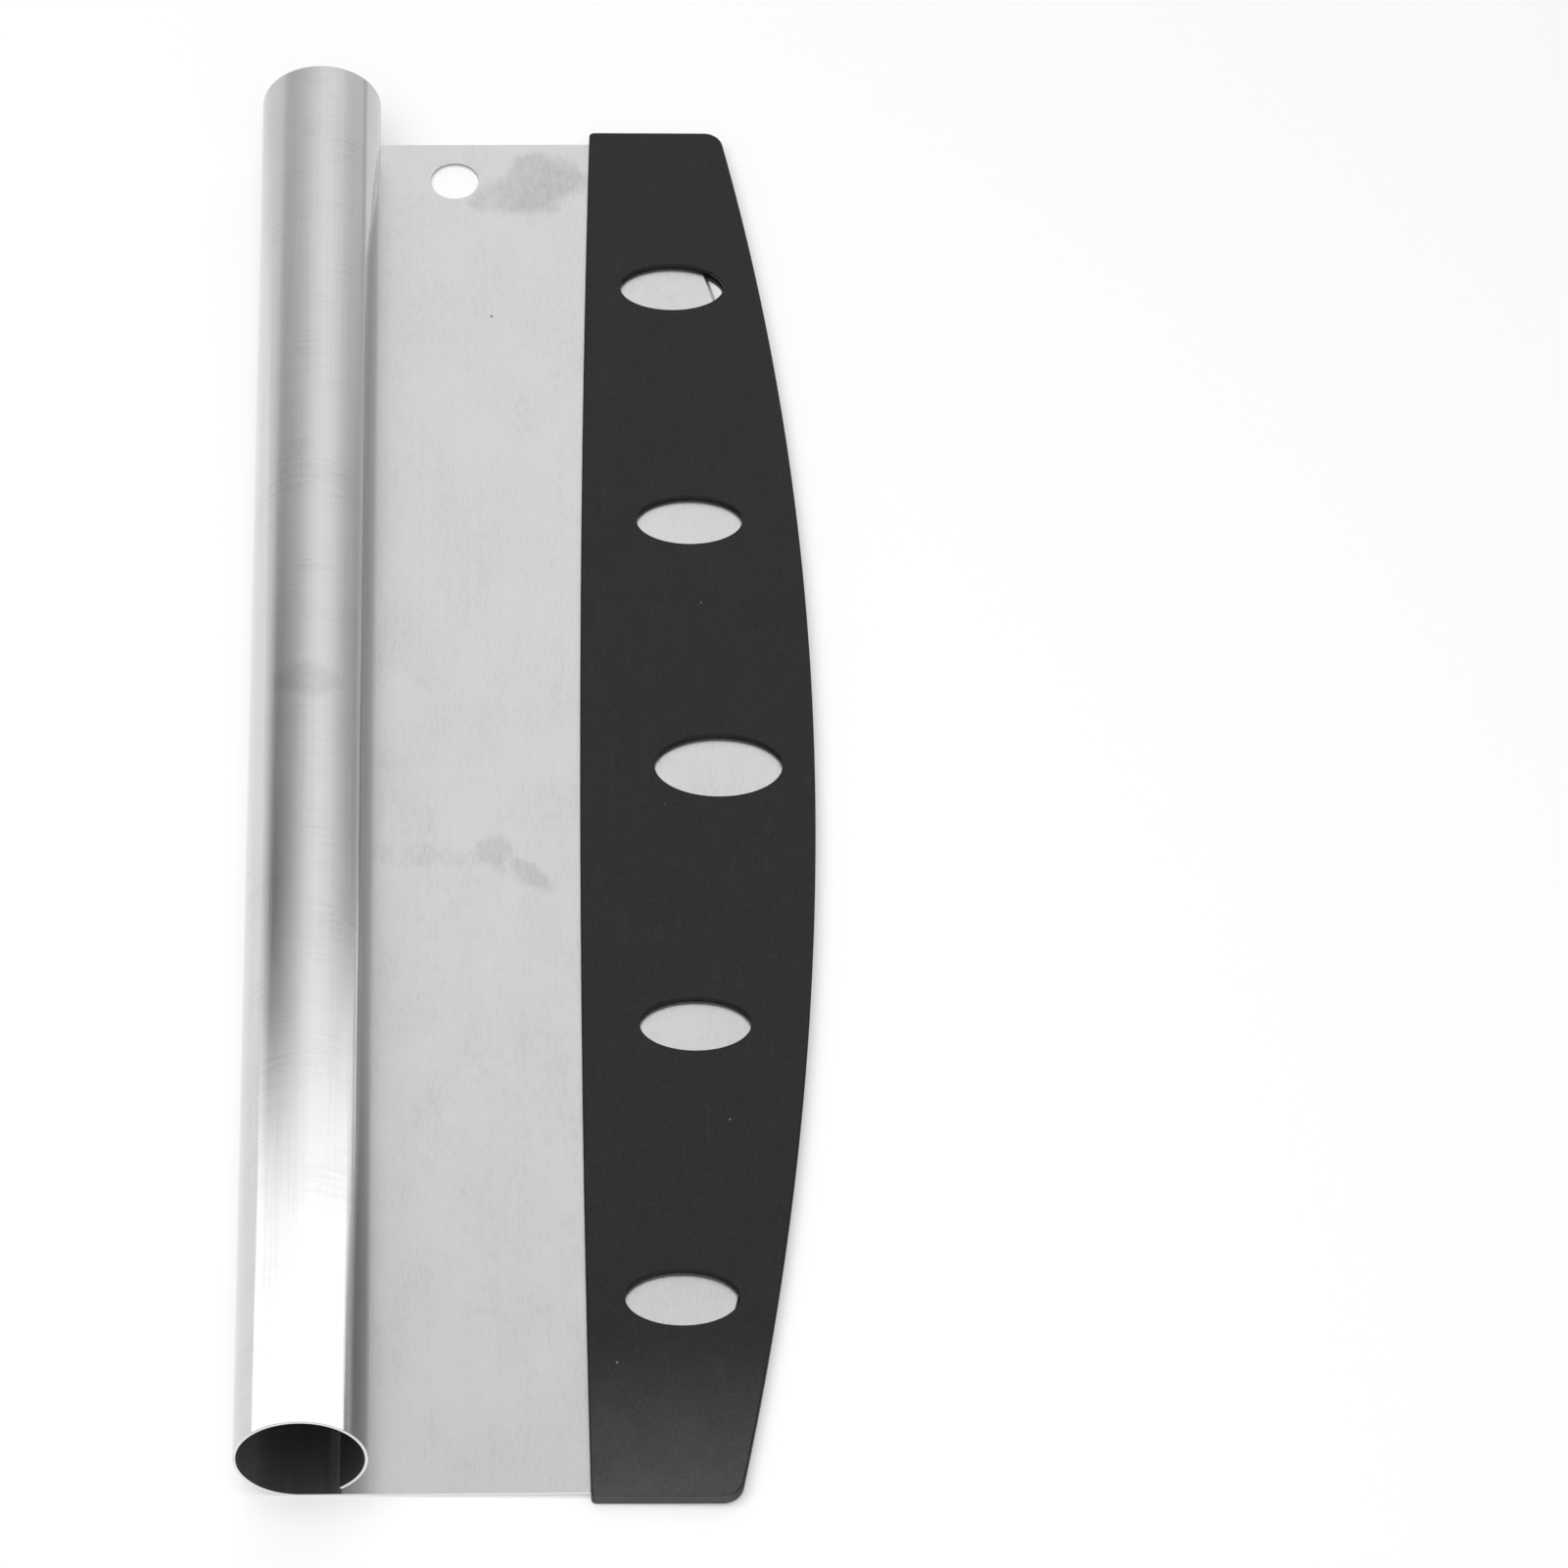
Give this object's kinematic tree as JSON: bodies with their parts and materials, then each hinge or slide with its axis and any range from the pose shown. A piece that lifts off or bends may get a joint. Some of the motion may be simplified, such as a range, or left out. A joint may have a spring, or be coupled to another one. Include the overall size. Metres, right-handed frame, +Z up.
{
  "type": "rocking pizza cutter with blade guard",
  "caption": "Rocking pizza cutter: a steel sheet with a curved cutting edge and a rolled tubular handle, with a windowed plastic guard that slides off the edge.",
  "frame": {"origin": "middle of the underside of the whole part, at the level of the guard's underside", "axes": "+X from the handle to the cutting edge, +Y along the handle to the end with the hanging hole, +Z up, square to the blade's face"},
  "size_m": [0.1152, 0.3544, 0.0269],
  "materials": {
    "steel": "fine grain along the length",
    "black_plastic": "fine matte moulded texture"
  },
  "bodies": {
    "cutter": {"blade_and_handle": "steel"},
    "guard": {"blade_guard": "black_plastic"}
  },
  "joints": [
    {"name": "guard_slide", "type": "slide", "parent": "cutter", "child": "guard", "axis": [1, 0, 0], "range_m": [0, 0.06]}
  ]
}
